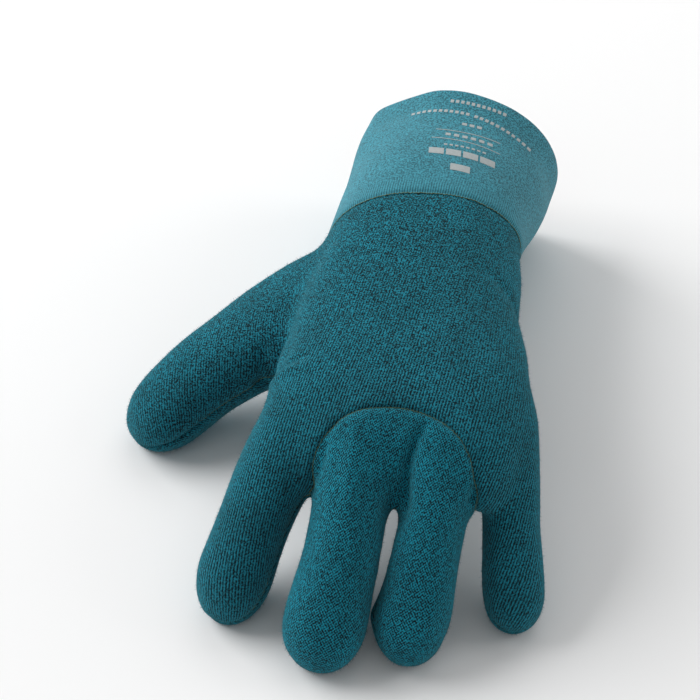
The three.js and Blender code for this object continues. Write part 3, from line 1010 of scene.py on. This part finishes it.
def zigzag(run, thread, random):
    """The thread's path along a run of seam points: from side to side, and partly hidden in the cloth. It
    is empty for a short run."""
    places = np.array([place for place, _ in run])
    ways = np.array([way for _, way in run])
    for _ in range(4):
        places[1:-1] = 0.5 * places[1:-1] + 0.25 * (places[:-2] + places[2:])
    steps = np.linalg.norm(np.diff(places, axis=0), axis=1)
    travelled = np.concatenate([[0], np.cumsum(steps)])
    count = int(travelled[-1] / (thread.pitch / 2))
    if count < FEWEST_HALF_STITCHES:
        return []
    at = np.linspace(0, travelled[-1], count + 1)
    centre = np.stack([np.interp(at, travelled, places[:, k]) for k in range(3)], axis=1)
    normal = np.stack([np.interp(at, travelled, ways[:, k]) for k in range(3)], axis=1)
    normal /= np.linalg.norm(normal, axis=1)[:, None]
    tangent = np.gradient(centre, axis=0)
    across = np.cross(normal, tangent)
    across /= np.maximum(np.linalg.norm(across, axis=1), 1e-9)[:, None]
    side = np.where(np.arange(count + 1) % 2 == 0, 1.0, -1.0) * random.uniform(0.4, 1.2, count + 1)
    swing = across * (side * thread.width / 2)[:, None]
    height = thread.diameter * random.uniform(-0.15, 0.55, count + 1)
    return centre + swing + normal * height[:, None]


class GLOVE_OT_threads(bpy.types.Operator):
    """Sews the seams of the glove"""

    bl_idname = "glove.threads"
    bl_label = "Seam threads"

    def execute(self, context):
        thread = context.scene.glove_thread
        material = sewing_thread(thread)
        random = np.random.default_rng(7)
        names = {"cuff_seam_thread": [], "knuckle_seam_thread": [], "side_seam_thread": []}
        for (first, second), runs in SEAMS.items():
            if first == CUFF:
                names["cuff_seam_thread"] += runs
            elif (first, second) == (KNUCKLES, BACK):
                names["knuckle_seam_thread"] += runs
            else:
                names["side_seam_thread"] += runs
        for name, runs in names.items():
            curve = bpy.data.curves.new(name, "CURVE")
            curve.dimensions = "3D"
            curve.bevel_depth = thread.diameter / 2
            curve.bevel_resolution = 1
            for run in runs:
                path = zigzag(run, thread, random)
                if len(path) == 0:
                    continue
                spline = curve.splines.new("POLY")
                spline.points.add(len(path) - 1)
                spline.points.foreach_set("co", np.c_[path, np.ones(len(path))].ravel())
            holder = new_object(name + "_path", curve)
            graph = context.evaluated_depsgraph_get()
            mesh = bpy.data.meshes.new_from_object(holder.evaluated_get(graph))
            bpy.data.objects.remove(holder)
            mesh.shade_smooth()
            mesh.materials.clear()
            mesh.materials.append(material)
            piece = new_object(name, mesh)
            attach(piece, "root")
        return {"FINISHED"}


def grow_pile(cloth, name, pile, material, seed):
    """Single fibres on the outer face of a panel, each one a narrow blade with its own lean and tone."""
    random = np.random.default_rng(seed)
    mesh = cloth.data
    mesh.calc_loop_triangles()
    count = len(mesh.loop_triangles)
    corners = np.empty(count * 3, np.int32)
    mesh.loop_triangles.foreach_get("vertices", corners)
    corners = corners.reshape(-1, 3)
    index = np.empty(count, np.int32)
    mesh.loop_triangles.foreach_get("material_index", index)
    corners = corners[index == 0]
    points = points_of(mesh)
    normals = normals_of(mesh)
    a, b, c = (points[corners[:, k]] for k in range(3))
    area = np.linalg.norm(np.cross(b - a, c - a), axis=1) / 2
    number = int(area.sum() / MM**2 * pile.per_square)
    chosen = random.choice(len(area), number, p=area / area.sum())
    u, v = random.random((2, number))
    swap = u + v > 1
    u[swap], v[swap] = 1 - u[swap], 1 - v[swap]
    root = a[chosen] + (b - a)[chosen] * u[:, None] + (c - a)[chosen] * v[:, None]
    up = sum(normals[corners[chosen, k]] * w[:, None] for k, w in enumerate((1 - u - v, u, v)))
    up /= np.linalg.norm(up, axis=1)[:, None]
    lean = random.normal(size=(number, 3)) * 0.55 + np.array([0.0, -0.25, 0.0])
    way = up + lean - up * np.einsum("ij,ij->i", lean, up)[:, None]
    way /= np.linalg.norm(way, axis=1)[:, None]
    long = pile.length * (0.5 + random.random(number) + 1.6 * random.random(number) ** 8)
    across = np.cross(way, random.normal(size=(number, 3)))
    across /= np.linalg.norm(across, axis=1)[:, None]
    half = across * (pile.thickness / 2)
    root = root - up * PILE_ROOT
    tip = root + way * long[:, None]
    tip[:, 2] = np.maximum(tip[:, 2], PILE_FLOOR_GAP)
    root[:, 2] = np.maximum(root[:, 2], PILE_FLOOR_GAP)
    verts = np.stack([root - half, root + half, tip], axis=1).reshape(-1, 3)
    made = bpy.data.meshes.new(name)
    made.vertices.add(len(verts))
    made.vertices.foreach_set("co", verts.astype(np.float32).ravel())
    made.loops.add(number * 3)
    made.loops.foreach_set("vertex_index", np.arange(number * 3, dtype=np.int32))
    made.polygons.add(number)
    made.polygons.foreach_set("loop_start", np.arange(0, number * 3, 3, dtype=np.int32))
    made.update()
    tone = made.attributes.new("tone", "FLOAT", "POINT")
    tone.data.foreach_set("value", np.repeat(random.random(number), 3).astype(np.float32))
    softened = up + random.normal(size=(number, 3)) * 0.35
    softened /= np.linalg.norm(softened, axis=1)[:, None]
    made.normals_split_custom_set_from_vertices(np.repeat(softened, 3, axis=0).astype(np.float32))
    made.materials.append(material)
    piece = new_object(name, made)
    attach(piece, "root")


class GLOVE_OT_pile(bpy.types.Operator):
    """Grows the pile of the plush panels"""

    bl_idname = "glove.pile"
    bl_label = "Plush pile"

    def execute(self, context):
        pile = context.scene.glove_pile
        if not pile.shown:
            return {"FINISHED"}
        material = fibre(context.scene.glove_finish)
        for seed, node in enumerate(PANELS):
            if PANELS[node] == "plush_lining":
                cloth = bpy.data.objects[f"{node}_cloth"]
                grow_pile(cloth, f"{node}_pile", pile, material, seed)
        return {"FINISHED"}


# The plain bars that stand where the cuff is printed, in millimetres: the two ends of a row, the height
# of its bars, how many there are, and the share of the row that they cover.
PRINT_ROWS = (
    ((30, 71), (38, 71.5), 4.6, 1, 1.0),
    ((19.5, 81.2), (47.6, 83), 4.6, 4, 0.88),
    ((25, 87.3), (43.2, 88.6), 1.2, 8, 0.6),
    ((19.8, 92.2), (48.3, 92.9), 0.45, 1, 1.0),
    ((24.3, 96.4), (45.4, 97), 2.2, 6, 0.62),
    ((20.6, 99.8), (47.5, 101.2), 0.45, 1, 1.0),
    ((30.1, 107.4), (39.6, 107.4), 1.9, 3, 0.65),
    ((7.7, 116.6), (33.3, 115.2), 1.9, 11, 0.62),
    ((34.6, 115), (60.3, 109.8), 1.9, 11, 0.62),
    ((23.5, 123), (48.4, 121.8), 1.9, 11, 0.62),
)


class GLOVE_OT_print(bpy.types.Operator):
    """Prints plain bars on the cuff"""

    bl_idname = "glove.print"
    bl_label = "Cuff print"

    def execute(self, context):
        prints = context.scene.glove_print
        cuff = bmesh.new()
        cuff.from_mesh(bpy.data.objects["cuff_cloth"].data)
        tree = BVHTree.FromBMesh(cuff)
        cuff.free()
        bm = bmesh.new()
        for start, end, height, count, share in PRINT_ROWS:
            first = Vector((*start, 0)) * MM
            step = (Vector((*end, 0)) * MM - first) / count
            turn = Vector((1, 0, 0)).rotation_difference(step).to_matrix().to_4x4()
            for number in range(count):
                centre = first + step * (number + 0.5)
                wide = step.length * share
                parts = max(1, round(wide / (1.5 * MM)))
                made = bmesh.ops.create_grid(bm, x_segments=parts, y_segments=2, size=0.5)["verts"]
                bmesh.ops.scale(bm, verts=made, vec=(wide, height * MM, 1))
                bmesh.ops.transform(bm, verts=made, matrix=turn)
                bmesh.ops.translate(bm, verts=made, vec=centre)
        for vert in bm.verts:
            place, normal = tree.ray_cast(Vector((vert.co.x, vert.co.y, 0.2)), Vector((0, 0, -1)))[:2]
            vert.co = place + normal * prints.proud
        bm.normal_update()
        mesh = mesh_from("cuff_print", bm)
        mesh.materials.append(ink(prints))
        piece = new_object("cuff_print", mesh)
        film = piece.modifiers.new("film", "SOLIDIFY")
        film.thickness = prints.proud
        film.offset = -1
        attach(piece, "root")
        return {"FINISHED"}


def area_light(name, place, aim, size, power):
    """A soft light that looks at a point."""
    data = bpy.data.lights.new(name, "AREA")
    data.shape = "RECTANGLE"
    data.size, data.size_y = size
    data.energy = power
    lamp = bpy.data.objects.new(name, data)
    bpy.context.scene.collection.objects.link(lamp)
    lamp.location = place
    lamp.rotation_euler = (Vector(aim) - Vector(place)).to_track_quat("-Z", "Y").to_euler()


class GLOVE_OT_stage(bpy.types.Operator):
    """Lays the floor and sets the camera and the lights"""

    bl_idname = "glove.stage"
    bl_label = "Stage"

    def execute(self, context):
        stage = context.scene.glove_stage
        scene = context.scene
        bm = bmesh.new()
        bmesh.ops.create_grid(bm, x_segments=1, y_segments=1, size=4.0)
        floor = new_object("floor", mesh_from("floor", bm))
        look = {"Base Color": stage.floor[:], "Roughness": 0.9}
        floor.data.materials.append(new_material("pale_floor", look)[0])

        aim = Vector((1.2, -5.5, 45.0)) * MM
        turn = math.radians(stage.azimuth)
        rise = math.radians(stage.elevation)
        way = Vector((math.sin(turn) * math.cos(rise), -math.cos(turn) * math.cos(rise), math.sin(rise)))
        data = bpy.data.cameras.new("camera")
        data.lens = stage.lens
        data.sensor_width = 36
        data.clip_end = 20
        camera = bpy.data.objects.new("camera", data)
        scene.collection.objects.link(camera)
        camera.location = aim + way * stage.distance
        camera.rotation_euler = (-way).to_track_quat("-Z", "Y").to_euler()
        scene.camera = camera

        centre = (0.0, 0.0, 0.03)
        power = stage.light
        area_light("key_light", (-2.3, 0.7, 1.7), centre, (2.2, 2.2), 84 * power)
        area_light("back_light", (0.1, 1.8, 2.0), centre, (2.4, 1.4), 14 * power)
        area_light("right_light", (2.0, 0.6, 0.9), centre, (1.0, 1.6), 9 * power)
        world = bpy.data.worlds.new("studio")
        scene.world = world
        world.use_nodes = True
        sky = world.node_tree.nodes["Background"]
        sky.inputs["Color"].default_value = (1.0, 1.0, 1.0, 1.0)
        sky.inputs["Strength"].default_value = 0.35 * power
        scene.view_settings.view_transform = "Standard"
        return {"FINISHED"}


class GLOVE_PT_sidebar(bpy.types.Panel):
    """Lists the glove's settings and its steps"""

    bl_idname = "GLOVE_PT_sidebar"
    bl_label = "Diving glove"
    bl_space_type = "VIEW_3D"
    bl_region_type = "UI"
    bl_category = "Glove"

    def draw(self, context):
        for title, group, operator in STEPS:
            box = self.layout.box()
            box.label(text=title)
            settings = getattr(context.scene, group)
            for name in settings.__annotations__:
                box.prop(settings, name)
            if operator:
                box.operator(operator)


STEPS = (
    ("Finish", "glove_finish", None),
    ("Panels", "glove_form", "glove.panels"),
    ("Threads", "glove_thread", "glove.threads"),
    ("Pile", "glove_pile", "glove.pile"),
    ("Print", "glove_print", "glove.print"),
    ("Stage", "glove_stage", "glove.stage"),
)
GROUPS = {
    "glove_finish": FinishSettings,
    "glove_form": GloveFormSettings,
    "glove_thread": ThreadSettings,
    "glove_pile": PileSettings,
    "glove_print": PrintSettings,
    "glove_stage": StageSettings,
}
CLASSES = (
    *GROUPS.values(),
    GLOVE_OT_panels,
    GLOVE_OT_threads,
    GLOVE_OT_pile,
    GLOVE_OT_print,
    GLOVE_OT_stage,
    GLOVE_PT_sidebar,
)


def register():
    for cls in CLASSES:
        bpy.utils.register_class(cls)
    for name, group in GROUPS.items():
        setattr(bpy.types.Scene, name, PointerProperty(type=group))


def unregister():
    for name in GROUPS:
        delattr(bpy.types.Scene, name)
    for cls in reversed(CLASSES):
        bpy.utils.unregister_class(cls)


def main():
    """Makes the whole scene."""
    register()
    bpy.ops.glove.panels()
    bpy.ops.glove.threads()
    bpy.ops.glove.pile()
    bpy.ops.glove.print()
    bpy.ops.glove.stage()


if __name__ == "__main__":
    main()
